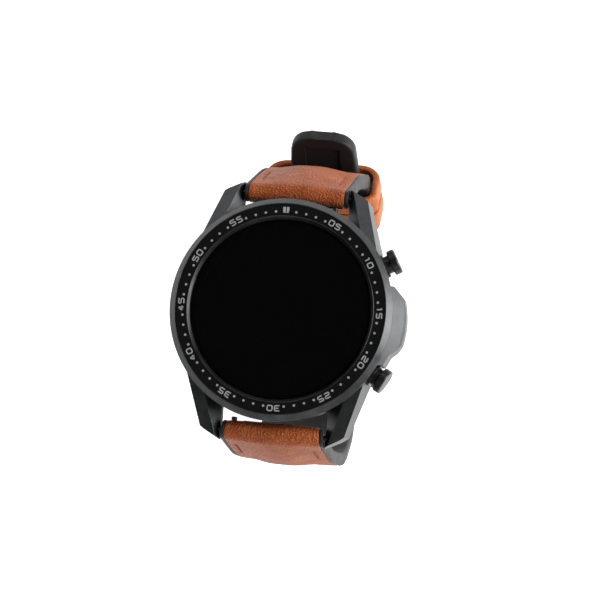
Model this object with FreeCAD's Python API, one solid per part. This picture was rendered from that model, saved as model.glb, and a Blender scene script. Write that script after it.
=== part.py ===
"""A round smartwatch on a buckled leather strap, in millimetres.

Frame: the origin is the centre of the sensor window, the flat face that lies on the wrist.
+Z points out of the dial, +Y to twelve o'clock and +X to three o'clock, where the pushers are.
"Upper" is the twelve o'clock side and "lower" the six o'clock side.
Each piece is one solid, or one group of like solids, written to parts/NAME.step.
"""

import FreeCAD
import Part
import math
import os

Vector = FreeCAD.Vector
X_AXIS, Y_AXIS, Z_AXIS = Vector(1, 0, 0), Vector(0, 1, 0), Vector(0, 0, 1)
ORIGIN = Vector(0, 0, 0)

# ---------------------------------------------------------------- driving dimensions
case_r = 22.8  # wall of the mid case
case_foot_r = 21.2  # the case draws in towards the wrist
bezel_r = 23.2  # widest edge of the bezel, a 46 mm watch
case_bottom, case_top = 1.8, 8.7
cavity_r, cavity_floor, cavity_top = 20.4, 3.4, 8.2
rear_opening_r, front_opening_r = 19.0, 17.8
glass_r, glass_bottom, glass_top = 18.7, 9.0, 10.5
display_top = glass_bottom - 0.05
bezel_inner_r = 18.9
bezel_top = 11.2
insert_inner_r, insert_outer_r, insert_bottom, insert_top = 19.45, 21.9, 10.7, 11.1

strap_width = 22.0  # the standard strap that the lugs take
lug_inner = strap_width / 2 + 0.1
bar_y, bar_z = 25.0, 3.4  # spring bar axes, at plus and minus bar_y
eye_r = 2.2  # rolled end of the strap round its spring bar
leather_t, lining_t = 1.3, 2.1  # layers of the buckle half
tail_leather_t, tail_lining_t = 1.1, 1.8  # layers of the half with the holes
strap_gap = 0.5  # air between the overlapped halves

pusher_angle = 29.5  # either side of three o'clock
pusher_z = 5.4
pusher_face = 26.0  # distance of a pusher's cap face from the dial's centre
pusher_cap_r, pusher_cap_t = 2.65, 1.6
pusher_travel = 0.5

clear = 0.05  # running clearance of a pin in its hole


# ---------------------------------------------------------------- building blocks
def cylinder(r, z0, z1, x=0.0, y=0.0):
    return Part.makeCylinder(r, z1 - z0, Vector(x, y, z0))


def ring(r_in, r_out, z0, z1):
    return cylinder(r_out, z0, z1).cut(cylinder(r_in, z0 - 1, z1 + 1))


def box(x0, x1, y0, y1, z0, z1):
    return Part.makeBox(x1 - x0, y1 - y0, z1 - z0, Vector(x0, y0, z0))


def rod_x(r, x0, x1, y, z):
    """A cylinder along X."""
    return Part.makeCylinder(r, x1 - x0, Vector(x0, y, z), X_AXIS)


def turned(profile):
    """A solid of revolution about Z from (radius, z) points."""
    points = [Vector(r, 0, z) for r, z in profile]
    face = Part.Face(Part.makePolygon(points + points[:1]))
    return face.revolve(ORIGIN, Z_AXIS, 360)


def prism_z(outline, z0, z1):
    """A polygon of (x, y) points, stretched along Z."""
    points = [Vector(x, y, z0) for x, y in outline]
    return Part.Face(Part.makePolygon(points + points[:1])).extrude(Vector(0, 0, z1 - z0))


def prism_x(outline, x0, x1):
    """A polygon of (y, z) points, stretched along X."""
    points = [Vector(x0, y, z) for y, z in outline]
    return Part.Face(Part.makePolygon(points + points[:1])).extrude(Vector(x1 - x0, 0, 0))


def fused(shapes):
    first, *rest = shapes
    return first.fuse(rest).removeSplitter() if rest else first


def mirrored_x(shape):
    return shape.mirror(ORIGIN, X_AXIS)


def mirrored_y(shape):
    return shape.mirror(ORIGIN, Y_AXIS)


def radial(shape, angle, z):
    """Moves a shape built along +X at the origin out to a clock angle, in degrees from three o'clock."""
    shape = shape.copy()
    shape.translate(Vector(0, 0, z))
    shape.rotate(ORIGIN, Z_AXIS, angle)
    return shape


# ---------------------------------------------------------------- strap curves
# A strap's outer face is a chain of straight runs in the YZ plane, joined by tangent arcs.
# Each corner is (y, z, radius of its arc). "Left" of the chain is the side of its normal.
def left_of(along):
    return Vector(0, -along.z, along.y)


def chain_edges(corners, offset=0.0):
    """The chain as edges, moved to its left by an offset."""
    points = [Vector(0, y, z) for y, z, _ in corners]
    edges = []
    start = points[0]
    for i in range(1, len(points)):
        along = (points[i] - points[i - 1]).normalize()
        normal = left_of(along)
        last = i == len(points) - 1
        end = points[i]
        if not last:
            after = (points[i + 1] - points[i]).normalize()
            reach = corners[i][2] * math.tan(along.getAngle(after) / 2)
            end = points[i] - along * reach
        edges.append(Part.makeLine(start + normal * offset, end + normal * offset))
        if last:
            return edges
        start = points[i] + after * reach
        side = 1 if along.cross(after).x > 0 else -1
        centre = end + normal * corners[i][2] * side
        middle = (normal + left_of(after)).normalize()
        arc_points = [
            centre + n * (offset - corners[i][2] * side) for n in (normal, middle, left_of(after))
        ]
        edges.append(Part.Arc(*arc_points).toShape())


def ribbon(corners, near, far, width):
    """A band between two offsets of a chain, centred on x = 0."""
    one, two = chain_edges(corners, near), chain_edges(corners, far)
    closing = [
        Part.makeLine(one[0].Vertexes[0].Point, two[0].Vertexes[0].Point),
        Part.makeLine(one[-1].Vertexes[-1].Point, two[-1].Vertexes[-1].Point),
    ]
    wire = Part.Wire(Part.__sortEdges__(one + two + closing))
    solid = Part.Face(wire).extrude(Vector(width, 0, 0))
    solid.translate(Vector(-width / 2, 0, 0))
    return solid


def moved_corner(before, corner, after, distance):
    """A corner moved so that both its runs move left by the same distance."""
    a, b, c = (Vector(0, p[0], p[1]) for p in (before, corner, after))
    one, two = left_of((b - a).normalize()), left_of((c - b).normalize())
    moved = b + (one + two) * (distance / (1 + one.dot(two)))
    return moved.y, moved.z


def along_chain(corners, distance):
    """Point and direction at a distance along the chain."""
    for edge in chain_edges(corners):
        if distance <= edge.Length:
            at = edge.getParameterByLength(distance)
            return edge.valueAt(at), edge.tangentAt(at)
        distance -= edge.Length


# Corners of the upper strap's outer face, from its spring bar, 22 degrees outward, to the buckle bar.
upper_start = (bar_y + eye_r * math.cos(math.radians(22)), bar_z + eye_r * math.sin(math.radians(22)))
upper_chain = [
    (*upper_start, 0),
    (33.6, -13.0, 40),
    (36.6, -28.6, 8),
    (25.4, -45.2, 22),
    (14.5, -55.4, 18),
    (5.5, -55.0, 0),
]
buckle_eye_r = 1.7
buckle_bar_r = 0.7
buckle_bar_at = (upper_chain[-1][0], upper_chain[-1][1] + buckle_eye_r)
crossbar_r = 1.0
crossbar_at = (buckle_bar_at[0] - 11.0, buckle_bar_at[1] - 3.6)

# The lower strap passes inside the buckle's crossbar, then runs outside the upper strap to its tail.
tail_offset = strap_gap + tail_leather_t + tail_lining_t
bend, below_bend = Vector(0, *upper_chain[2][:2]), Vector(0, *upper_chain[3][:2])
tail_way = (bend - below_bend).normalize()
tail_out = Vector(0, tail_way.z, -tail_way.y)
tail_reach = 8.8  # how far the tail stands past the upper strap's bend
tail_tip = bend + tail_out * tail_offset + tail_way * tail_reach
lower_chain = [
    (-bar_y - eye_r, bar_z, 0),
    (-28.6, -14.0, 60),
    (-27.6, -31.0, 30),
    (-19.5, -46.0, 24),
    (crossbar_at[0] - 1.5, crossbar_at[1] + crossbar_r + 0.6, 20),
    (buckle_bar_at[0] - 0.5, upper_chain[-1][1] - tail_offset - 0.1, 14),
    (*moved_corner(*upper_chain[5:2:-1], -tail_offset), 20),
    (*moved_corner(*upper_chain[4:1:-1], -tail_offset), 25),
    (tail_tip.y, tail_tip.z, 0),
]
hole_count, hole_pitch = 7, 6.4
hole_length, hole_width = 3.6, 2.2


# ---------------------------------------------------------------- pieces
parts = {}

pusher_angles = {"upper": pusher_angle, "lower": -pusher_angle}
collar_r, collar_bore_r = 2.05, 1.2
collar_in, cup_in = 20.9, 22.4  # the collar's cup stands out of the case
cup_out = pusher_face - pusher_cap_t - pusher_travel - 0.5
cup_r, cup_bore_r = 2.5, 1.95
screw_ring_r, screw_r, screw_head_r = 19.85, 0.4, 0.8
screw_angles = (45, 135, 225, 315)
contact_y, contact_x, contact_r = -14.0, 2.5, 0.8
motor_at = (-13.6, 4.5)
motor_r, motor_bottom, motor_top = 4.0, 3.6, 6.2
bar_tip_r, bar_tube_r, bar_tube_bore = 0.5, 0.85, 0.5
bar_tube_end = 10.6
bar_tip_end = 12.2


def at_x_radius(shape, angle):
    """Turns a shape built along +X, at pusher height, to its clock angle."""
    shape = shape.copy()
    shape.rotate(ORIGIN, Z_AXIS, angle)
    return shape


def tube_along_x(r_in, r_out, x0, x1, z=pusher_z):
    tube = rod_x(r_out, x0, x1, 0, z)
    return tube.cut(rod_x(r_in, x0 - 1, x1 + 1, 0, z)) if r_in else tube


# ---------------------------------------------------------------- mid case
def half_space(corner, outward):
    """A block with one face through a corner, to cut away what lies on its outward side."""
    block = Part.makeBox(60, 60, 20, Vector(-30, -30, 0))
    block.Placement = FreeCAD.Placement(corner, FreeCAD.Rotation(Z_AXIS, outward))
    return block


def lug():
    """The lug at +X, +Y: a plan view cut by a side view, a leaning outer face and an inner bevel."""
    plan = [
        (lug_inner, 10.0), (lug_inner, 27.1), (14.4, 25.3), (15.6, 24.4),
        (19.0, 14.5), (20.2, 10.6), (18.0, 10.0),
    ]
    side = [
        (10, 9.0), (13.5, 9.0), (26.6, 4.5), (27.2, 4.1), (27.3, 2.6),
        (26.3, 1.1), (24.6, 0.6), (21, 1.6), (10, 2.8),
    ]
    shape = prism_z(plan, -1, 10).common(prism_x(side, 10, 22))
    lean = math.radians(5)
    outward = Vector(0.946 * math.cos(lean), 0.325 * math.cos(lean), math.sin(lean))
    shape = shape.cut(half_space(Vector(15.2, 24.4, 5.3), outward))
    bevel_start, bevel_end = Vector(13.9, 19.9, 6.8), Vector(11.9, 26.4, 4.57)
    bevel_foot = Vector(lug_inner, 19.9, 3.5)
    bevel_out = (bevel_end - bevel_start).cross(bevel_foot - bevel_start)
    return shape.cut(half_space(bevel_foot, bevel_out))


def crown_guard():
    """The shoulder between the pushers: a bowed outer face under a sloping front."""
    before = [(20, 7.0), (22.8, 6.9), (25.0, 4.6)]
    after = [(25.3, -4.9), (24.5, -6.1), (23.1, -7.3), (22.0, -9.6), (20, -9.6)]
    corners = [Vector(x, y, 2) for x, y in before], [Vector(x, y, 2) for x, y in after]
    bow = Part.Arc(corners[0][-1], Vector(25.75, -0.3, 2), corners[1][0]).toShape()
    sides = [Part.makeLine(a, b) for run in corners for a, b in zip(run, run[1:])]
    closing = Part.makeLine(corners[1][-1], corners[0][0])
    outline = Part.Wire(Part.__sortEdges__(sides + [bow, closing]))
    front = turned([(0, 3.2), (25.0, 3.2), (25.9, 4.1), (25.9, 6.6), (25.25, 7.5), (22.6, 8.9), (0, 8.9)])
    return Part.Face(outline).extrude(Vector(0, 0, 8)).common(front)


def mid_case():
    wall = turned([
        (0, case_bottom), (case_foot_r, case_bottom), (22.4, 4.0), (case_r, 5.6),
        (case_r, 8.3), (22.4, case_top), (0, case_top),
    ])
    one_lug = lug()
    top_lugs = [one_lug, mirrored_x(one_lug)]
    shape = fused([wall, crown_guard()] + top_lugs + [mirrored_y(s) for s in top_lugs])
    hollow = fused([
        cylinder(rear_opening_r, 0, cavity_floor + 0.1),
        cylinder(cavity_r, cavity_floor, cavity_top),
        cylinder(front_opening_r, cavity_top - 0.1, 10),
        cylinder(22.35, case_top, 10),
    ])
    shape = shape.cut(hollow)
    bores = [at_x_radius(rod_x(collar_r, 17, 30, 0, pusher_z), a) for a in pusher_angles.values()]
    bores += [at_x_radius(rod_x(cup_r, cup_in, 30, 0, pusher_z), a) for a in pusher_angles.values()]
    bores += [rod_x(bar_tip_r + clear, -13.2, 13.2, side * bar_y, bar_z) for side in (1, -1)]
    bores += [radial(cylinder(screw_r, 1, 3.2, screw_ring_r), a, 0) for a in screw_angles]
    bores += [rod_x(0.5, -30, -17, y, 5.4) for y in (-3, 0, 3)]  # speaker holes
    return shape.cut(fused(bores))


# ---------------------------------------------------------------- front
def bezel_ring():
    return turned([
        (bezel_inner_r, case_top), (22.3, case_top), (22.3, 9.1), (23.0, 9.25),
        (bezel_r, 9.6), (bezel_r, 9.95), (22.05, bezel_top), (insert_outer_r, bezel_top),
        (insert_outer_r, insert_bottom), (insert_inner_r, insert_bottom),
        (insert_inner_r, bezel_top), (19.35, bezel_top), (bezel_inner_r, 10.5),
    ])


def cover_glass():
    return turned([
        (0, glass_bottom), (glass_r, glass_bottom), (glass_r, glass_top - 0.3), (glass_r - 0.3, glass_top),
        (0, glass_top),
    ])


def glass_gasket():
    lip_r, rim = glass_r - 0.9, 10.1
    return turned([
        (lip_r, case_top), (bezel_inner_r, case_top), (bezel_inner_r, rim), (glass_r, rim),
        (glass_r, glass_bottom), (lip_r, glass_bottom),
    ])


parts["bezel_ring"] = bezel_ring()
parts["bezel_insert"] = ring(insert_inner_r, insert_outer_r, insert_bottom, insert_top)
parts["cover_glass"] = cover_glass()
parts["glass_gasket"] = glass_gasket()
parts["display_panel"] = cylinder(17.6, 8.2, display_top)


# ---------------------------------------------------------------- works inside the case
def inner_frame():
    shape = cylinder(20.2, 3.6, 8.0).cut(cylinder(19.3, 3.5, 7.3))
    slots = [at_x_radius(rod_x(2.4, 17, 22, 0, pusher_z), a) for a in pusher_angles.values()]
    speaker_way = box(-21, -18, -5, 5, 3.6, 7.3)
    ribbon_hole = box(-5, 5, 13, 16, 7, 8.5)
    return shape.cut(fused(slots + [speaker_way, ribbon_hole]))


def haptic_can():
    x, y = motor_at
    shape = cylinder(motor_r, motor_bottom, motor_top, x, y)
    shape = shape.cut(cylinder(motor_r - 0.4, motor_bottom + 0.4, motor_top - 0.4, x, y))
    return shape.cut(cylinder(0.4 + clear, motor_bottom + 0.15, motor_top - 0.15, x, y))


def haptic_rotor():
    """An off-centre half disc on its shaft."""
    x, y = motor_at
    disc = cylinder(motor_r - 0.8, motor_bottom + 0.7, motor_top - 0.7, x, y)
    half = disc.common(box(x - 5, x + 5, y, y + 5, 3, 7))
    return fused([half, cylinder(1.1, motor_bottom + 0.7, motor_top - 0.7, x, y),
                  cylinder(0.4, motor_bottom + 0.2, motor_top - 0.2, x, y)])


parts["inner_frame"] = inner_frame()
parts["main_board"] = cylinder(18.5, 6.4, 7.2).cut(box(-21, -17.4, -5, 5, 6, 8))
parts["board_shields"] = Part.Compound([box(-8, 1, 2, 13, 4.9, 6.4), box(2, 9.5, 2, 13, 4.9, 6.4)])
parts["battery"] = box(-10.5, 13, -13, 0.5, 3.7, 6.2)
parts["haptic_can"] = haptic_can()
parts["haptic_rotor"] = haptic_rotor()
parts["speaker_module"] = box(-17.2, -11.5, -8.0, -0.2, 3.7, 6.2)


# ---------------------------------------------------------------- rear
def rear_cover():
    shape = turned([
        (8.4, 1.2), (9.3, 1.2), (9.3, 0.3), (12.0, 0.3), (20.9, 1.3), (20.9, case_bottom),
        (18.9, case_bottom), (18.9, 2.2), (18.45, 2.2), (18.45, 2.8), (18.9, 2.8), (18.9, 3.2),
        (17.6, 3.2), (17.6, 2.0), (8.4, 2.0),
    ])
    cuts = [cylinder(contact_r, 0, 3, side * contact_x, contact_y) for side in (1, -1)]
    cuts += [radial(cylinder(screw_head_r, 0, 1.45, screw_ring_r), a, 0) for a in screw_angles]
    cuts += [radial(cylinder(screw_r, 0, 3, screw_ring_r), a, 0) for a in screw_angles]
    return shape.cut(fused(cuts))


def case_screw():
    head = cylinder(screw_head_r, 1.0, 1.45, screw_ring_r)
    driver_cross = fused([
        box(screw_ring_r - 0.5, screw_ring_r + 0.5, -0.1, 0.1, 0.9, 1.2),
        box(screw_ring_r - 0.1, screw_ring_r + 0.1, -0.5, 0.5, 0.9, 1.2),
    ])
    return fused([head, cylinder(screw_r, 1.45, 3.2, screw_ring_r)]).cut(driver_cross)


def sensor_window():
    return turned([(0, 0), (8.7, 0), (9.25, 0.35), (9.25, 1.2), (0, 1.2)])


parts["rear_cover"] = rear_cover()
parts["rear_gasket"] = ring(18.45, 19.0, 2.2, 2.8)
parts["case_screws"] = Part.Compound([radial(case_screw(), a, 0) for a in screw_angles])
parts["sensor_window"] = sensor_window()
parts["sensor_board"] = cylinder(10.0, 2.0, 2.6)
parts["sensor_leds"] = Part.Compound(
    [radial(box(4.2, 5.8, -0.8, 0.8, 1.3, 2.0), a, 0) for a in (0, 90, 180, 270)]
    + [box(-1.2, 1.2, -1.2, 1.2, 1.3, 2.0)]
)
parts["charging_contacts"] = Part.Compound(
    [cylinder(contact_r, 0.35, 2.4, side * contact_x, contact_y) for side in (1, -1)]
)


# ---------------------------------------------------------------- pushers
stem_r, groove_r = collar_bore_r - clear, 0.8
skirt_r, skirt_bore_r, skirt_in = cup_bore_r - clear, 1.65, 23.1
seal_x, clip_x = (21.6, 22.1), (collar_in - 0.32, collar_in - 0.02)
spring_turns, spring_wire_r, spring_mean_r = 3.5, 0.14, 1.4


def pusher_collar():
    """A bored sleeve in the case wall with a cup round the pusher's skirt."""
    sleeve = tube_along_x(collar_bore_r, collar_r, collar_in, cup_in)
    base = tube_along_x(collar_bore_r, cup_r, cup_in, cup_in + 0.2)
    cup = tube_along_x(cup_bore_r, cup_r, cup_in, cup_out)
    return fused([sleeve, base, cup])


def pusher():
    """Cap, black skirt and grooved stem in one piece."""
    cap_in = pusher_face - pusher_cap_t
    cap = rod_x(pusher_cap_r, cap_in, pusher_face, 0, pusher_z)
    cap = cap.makeChamfer(0.2, [e for e in cap.Edges if e.Length > 10])
    skirt = tube_along_x(skirt_bore_r, skirt_r, skirt_in, cap_in + 0.1)
    stem = rod_x(stem_r, 19.3, pusher_face - 1, 0, pusher_z)
    for x0, x1 in (seal_x, clip_x):
        stem = stem.cut(tube_along_x(groove_r, 3, x0, x1))
    return fused([cap, skirt, stem])


def pusher_spring():
    spring_seat = cup_in + 0.2
    length = pusher_face - pusher_cap_t - spring_seat
    travel = length - 2 * spring_wire_r
    path = Part.Wire(Part.makeHelix(travel / spring_turns, travel, spring_mean_r))
    section = Part.Wire(Part.makeCircle(spring_wire_r, Vector(spring_mean_r, 0, 0), Y_AXIS))
    coil = path.makePipeShell([section], True, True)
    coil.translate(Vector(0, 0, spring_wire_r))
    coil.rotate(ORIGIN, Y_AXIS, 90)
    coil.translate(Vector(spring_seat, 0, pusher_z))
    return coil


def push_switch():
    return fused([box(16.9, 18.3, -1.6, 1.6, 4.3, 6.4), rod_x(0.7, 18.2, 18.7, 0, pusher_z)])


for side, angle in pusher_angles.items():
    parts[side + "_pusher"] = at_x_radius(pusher(), angle)
    parts[side + "_pusher_collar"] = at_x_radius(pusher_collar(), angle)
    parts[side + "_pusher_spring"] = at_x_radius(pusher_spring(), angle)
    parts[side + "_pusher_seal"] = at_x_radius(tube_along_x(groove_r, collar_bore_r - 0.01, *seal_x), angle)
    parts[side + "_pusher_clip"] = at_x_radius(tube_along_x(groove_r, 1.8, *clip_x), angle)
parts["pusher_switches"] = Part.Compound([at_x_radius(push_switch(), a) for a in pusher_angles.values()])
parts["mid_case"] = mid_case()


# ---------------------------------------------------------------- spring bars
lever_slot = (6.4, 9.2)  # along X, where the release knob slides
tip_start = 7.4
knob_x = 8.3


def spring_bar():
    """A tube with a fixed tip at -X, open at +X for the sliding tip."""
    tube = rod_x(bar_tube_r, -bar_tube_end, bar_tube_end, bar_y, bar_z)
    bore = rod_x(bar_tube_bore + clear, 2.0, bar_tube_end + 1, bar_y, bar_z)
    slot = box(*lever_slot, bar_y - 2, bar_y, bar_z - 0.55, bar_z + 0.55)
    tip = rod_x(bar_tip_r, -bar_tip_end, -bar_tube_end, bar_y, bar_z)
    return tube.cut(bore).cut(slot).fuse(tip)


def release_lever():
    """The sliding tip with the knob that stands out towards the case."""
    tip = rod_x(bar_tip_r, tip_start, bar_tip_end, bar_y, bar_z)
    neck = Part.makeCylinder(0.4, 2.2, Vector(knob_x, bar_y - 2.2, bar_z), Y_AXIS)
    knob = Part.makeCylinder(0.6, 0.7, Vector(knob_x, bar_y - 2.75, bar_z), Y_AXIS)
    return fused([tip, neck, knob])


def bar_spring():
    """The coil inside the bar that holds the sliding tip out."""
    start, wire_r = 2.0, 0.1
    length = tip_start - start - 2 * wire_r
    path = Part.Wire(Part.makeHelix(length / 9, length, 0.36))
    section = Part.Wire(Part.makeCircle(wire_r, Vector(0.36, 0, 0), Y_AXIS))
    coil = path.makePipeShell([section], True, True)
    coil.rotate(ORIGIN, Y_AXIS, 90)
    coil.translate(Vector(start + wire_r, bar_y, bar_z))
    return coil


def half_turned(shape):
    """The same piece on the six o'clock side, turned half a turn about the dial."""
    shape = shape.copy()
    shape.rotate(ORIGIN, Z_AXIS, 180)
    return shape


bar_parts = {"spring_bar": spring_bar(), "release_lever": release_lever(), "bar_spring": bar_spring()}
for name, shape in bar_parts.items():
    parts["upper_" + name] = shape
    parts["lower_" + name] = half_turned(shape)


# ---------------------------------------------------------------- strap
def eye_at(y, z, r, hole_r, width):
    return rod_x(r, -width / 2, width / 2, y, z), rod_x(hole_r, -width, width, y, z)


def upper_strap():
    """Leather and lining of the buckle half, narrower towards the buckle."""
    width = strap_width - 2 * 0.1
    taper = [(-10.9, 6), (-10.9, -4), (-9.8, -57), (9.8, -57), (10.9, -4), (10.9, 6)]
    points = [Vector(x, 0, z) for x, z in taper]
    plan = Part.Face(Part.makePolygon(points + points[:1])).extrude(Vector(0, 40, 0))
    eye, eye_hole = eye_at(bar_y, bar_z, eye_r, bar_tube_r, width)
    end_eye, end_hole = eye_at(*buckle_bar_at, buckle_eye_r, buckle_bar_r, width)
    knob_notch = box(6.2, 9.6, bar_y - 4, bar_y, bar_z - 0.8, bar_z + 0.8)
    tongue_notch = box(-1.3, 1.3, buckle_bar_at[0] - 3, buckle_bar_at[0] + 2.4, -60, -50)
    cuts = fused([eye_hole, end_hole, knob_notch, tongue_notch])
    eyes = fused([eye, end_eye])
    outer = ribbon(upper_chain, 0, -leather_t, width)
    inner = ribbon(upper_chain, -leather_t, -leather_t - lining_t, width).cut(eyes)
    return [s.common(plan).cut(cuts) for s in (outer.fuse(eyes).removeSplitter(), inner)]


def way_to_y(corners, y):
    """Distance along the chain at which it first passes a y beyond its lowest stretch."""
    step, distance = 0.05, 60.0
    while along_chain(corners, distance)[0].y < y:
        distance += step
    return distance


def adjusting_holes():
    """Oblong holes through the lower strap, the first one round the buckle's tongue."""
    holes = []
    first = way_to_y(lower_chain, buckle_bar_at[0] - 3.3)
    for k in range(-3, hole_count - 3):
        at, way = along_chain(lower_chain, first + k * hole_pitch)
        half = (hole_length - hole_width) / 2
        out = Vector(0, -way.z, way.y)
        slot = fused(
            [Part.makeCylinder(hole_width / 2, 12, at - out * 6 + way * s, out) for s in (-half, half)]
            + [block(at - out * 6, way, out, hole_width, 2 * half, 12)]
        )
        holes.append(slot)
    return holes


def block(at, way, out, width, length, height):
    """A box with its base centred on a point: its width along X, its height along out."""
    signs = ((-1, -1), (1, -1), (1, 1), (-1, 1))
    corners = [at + X_AXIS * (width / 2 * a) + way * (length / 2 * b) for a, b in signs]
    return Part.Face(Part.makePolygon(corners + corners[:1])).extrude(out * height)


def lower_strap():
    """Leather and lining of the half with the holes, from its spring bar to its rounded tail."""
    width = strap_width - 2 * 0.1
    half_plan = [(10.9, -33), (10.9, -27), (9.7, -15), (9.2, 8), (7.9, 34), (6.6, 46)]
    plan = prism_z(half_plan + [(-x, y) for x, y in reversed(half_plan)], -70, 10)
    eye, eye_hole = eye_at(-bar_y, bar_z, eye_r, bar_tube_r, width)
    knob_notch = box(-9.6, -6.2, -bar_y, -bar_y + 4, bar_z - 0.8, bar_z + 0.8)
    cuts = fused([eye_hole, knob_notch] + adjusting_holes())
    outer = ribbon(lower_chain, 0, tail_leather_t, width)
    inner = ribbon(lower_chain, tail_leather_t, tail_leather_t + tail_lining_t, width).cut(eye)
    layers = [s.common(plan).cut(cuts) for s in (outer.fuse(eye).removeSplitter(), inner)]
    return [filleted_tip(s) for s in layers]


def filleted_tip(shape):
    """Rounds the two corners of the tail's end."""
    def at_tip(edge):
        middle = (edge.Vertexes[0].Point + edge.Vertexes[-1].Point) * 0.5
        near_tip = (middle - tail_tip).dot(tail_way) > -0.2
        return near_tip and abs(middle.x) > 5 and middle.y > 30
    return shape.makeFillet(4.2, [e for e in shape.Edges if at_tip(e)])


def keeper(way_start, length, grow):
    """A leather loop round both halves, from one distance above the strap's corner to another."""
    width, inward, outward, wall = 22.6 + grow, 4.0, 4.0 + grow, 1.3
    def rounded(w, low, high, r):
        face = [Vector(x, v, 0) for x, v in ((-w / 2, low), (w / 2, low), (w / 2, high), (-w / 2, high))]
        solid = Part.Face(Part.makePolygon(face + face[:1])).extrude(Vector(0, 0, length))
        upright = [e for e in solid.Edges if abs(e.Vertexes[0].Z - e.Vertexes[-1].Z) > length / 2]
        return solid.makeFillet(r, upright)
    loop = rounded(width + 2 * wall, -inward - wall, outward + wall, 4.2)
    loop = loop.cut(rounded(width, -inward, outward, 1.8))
    loop.Placement = FreeCAD.Placement(
        below_bend + tail_way * way_start, FreeCAD.Rotation(X_AXIS, tail_out, tail_way, "XYZ")
    )
    return loop


parts["buckle_strap_leather"], parts["buckle_strap_lining"] = upper_strap()
parts["long_strap_leather"], parts["long_strap_lining"] = lower_strap()
keeper_width, keeper_top = 5.0, 17.3
parts["free_keeper"] = keeper(keeper_top - keeper_width, keeper_width, 0)
parts["fixed_keeper"] = keeper(keeper_top - 2 * keeper_width - 0.4, keeper_width, 0.4)


# ---------------------------------------------------------------- buckle
arm_inner, arm_outer = 10.3, 11.9
arm_r = 1.35


def buckle_frame():
    """Two arms from the buckle bar to the crossbar."""
    (y0, z0), (y1, z1) = buckle_bar_at, crossbar_at
    way = (Vector(0, y1, z1) - Vector(0, y0, z0)).normalize()
    side = left_of(way)
    outline = [Vector(0, *p) + side * (s * arm_r * 0.8) for p, s in ((buckle_bar_at, 1), (crossbar_at, 1))]
    outline += [Vector(0, *p) + side * (s * arm_r * 0.8) for p, s in ((crossbar_at, -1), (buckle_bar_at, -1))]
    arm = prism_x([(p.y, p.z) for p in outline], arm_inner, arm_outer)
    arm = fused([
        arm, rod_x(arm_r, arm_inner, arm_outer, y0, z0), rod_x(arm_r * 0.8, arm_inner, arm_outer, y1, z1),
    ])
    crossbar = rod_x(crossbar_r, -arm_outer, arm_outer, y1, z1)
    shape = fused([arm, mirrored_x(arm), crossbar])
    return shape.cut(rod_x(buckle_bar_r + clear, -11.4, 11.4, y0, z0))


def buckle_tongue():
    """A bent pin from the buckle bar, up through the strap and over the crossbar."""
    y, z = buckle_bar_at
    bend_points = [
        (y - 0.6, z - 0.9, 0), (y - 2.3, z - 1.4, 0.6), (y - 4.4, z - 5.1, 1.2), (y - 12.6, z - 5.4, 0),
    ]
    pin = ribbon(bend_points, 0.45, -0.45, 1.9)
    hub = rod_x(1.35, -1.1, 1.1, y, z)
    return fused([pin, hub]).cut(rod_x(buckle_bar_r + clear, -5, 5, y, z))


parts["buckle_frame"] = buckle_frame()
parts["buckle_tongue"] = buckle_tongue()
parts["buckle_bar"] = rod_x(buckle_bar_r, -11.3, 11.3, *buckle_bar_at)


# ---------------------------------------------------------------- output
os.makedirs("parts", exist_ok=True)
for name, shape in parts.items():
    shape.exportStep("parts/" + name + ".step")
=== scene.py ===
"""The looks of a round smartwatch on a tan leather strap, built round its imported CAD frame.

Lengths in this script are millimetres in the frame's own axes and become metres in mesh_object().
Only the stage, the lights and the camera are placed in metres.
+Z points out of the dial, +Y to twelve o'clock and +X to the pushers. The buckle half of the strap
hangs from the twelve o'clock lugs, and the long half from the six o'clock lugs.
"""

import math

import bmesh
import bpy
from mathutils import Matrix, Vector, noise


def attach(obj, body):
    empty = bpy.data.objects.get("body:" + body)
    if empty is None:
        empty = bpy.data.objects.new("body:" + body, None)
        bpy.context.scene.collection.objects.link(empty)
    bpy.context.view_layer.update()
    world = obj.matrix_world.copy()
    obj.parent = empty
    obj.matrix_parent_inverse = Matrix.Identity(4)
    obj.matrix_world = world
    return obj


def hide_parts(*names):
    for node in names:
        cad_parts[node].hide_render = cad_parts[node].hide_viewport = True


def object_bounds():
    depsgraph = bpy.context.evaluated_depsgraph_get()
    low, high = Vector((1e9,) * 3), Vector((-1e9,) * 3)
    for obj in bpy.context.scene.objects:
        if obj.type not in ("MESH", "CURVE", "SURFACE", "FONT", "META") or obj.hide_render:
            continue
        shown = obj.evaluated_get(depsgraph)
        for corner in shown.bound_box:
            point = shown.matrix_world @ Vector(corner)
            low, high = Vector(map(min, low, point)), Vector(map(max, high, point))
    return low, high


MM = 0.001
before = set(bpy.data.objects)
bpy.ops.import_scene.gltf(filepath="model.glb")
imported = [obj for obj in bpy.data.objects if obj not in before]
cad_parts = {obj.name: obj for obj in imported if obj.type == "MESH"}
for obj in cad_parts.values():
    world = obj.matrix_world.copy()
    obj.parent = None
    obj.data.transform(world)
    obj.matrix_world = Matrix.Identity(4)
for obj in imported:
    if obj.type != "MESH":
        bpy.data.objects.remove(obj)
cad_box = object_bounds()

# ------------------------------------------------------------------ driving dimensions
bar_y, bar_z = 25.0, 3.4  # spring bar axes
eye_r, bar_r = 2.2, 0.87  # rolled strap end and the bar in it
bar_wall = eye_r - bar_r  # strap thickness round the bar
buckle_bar = Vector((5.5, -53.3))
buckle_eye_r, buckle_hole_r = 1.7, 0.72
upper_t, lower_t = 3.4, 2.9  # whole thickness of each strap half
skin_t = 0.9  # leather layer
edge_step = 0.75  # black edge that shows beside the leather
station_step = 0.55

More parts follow.
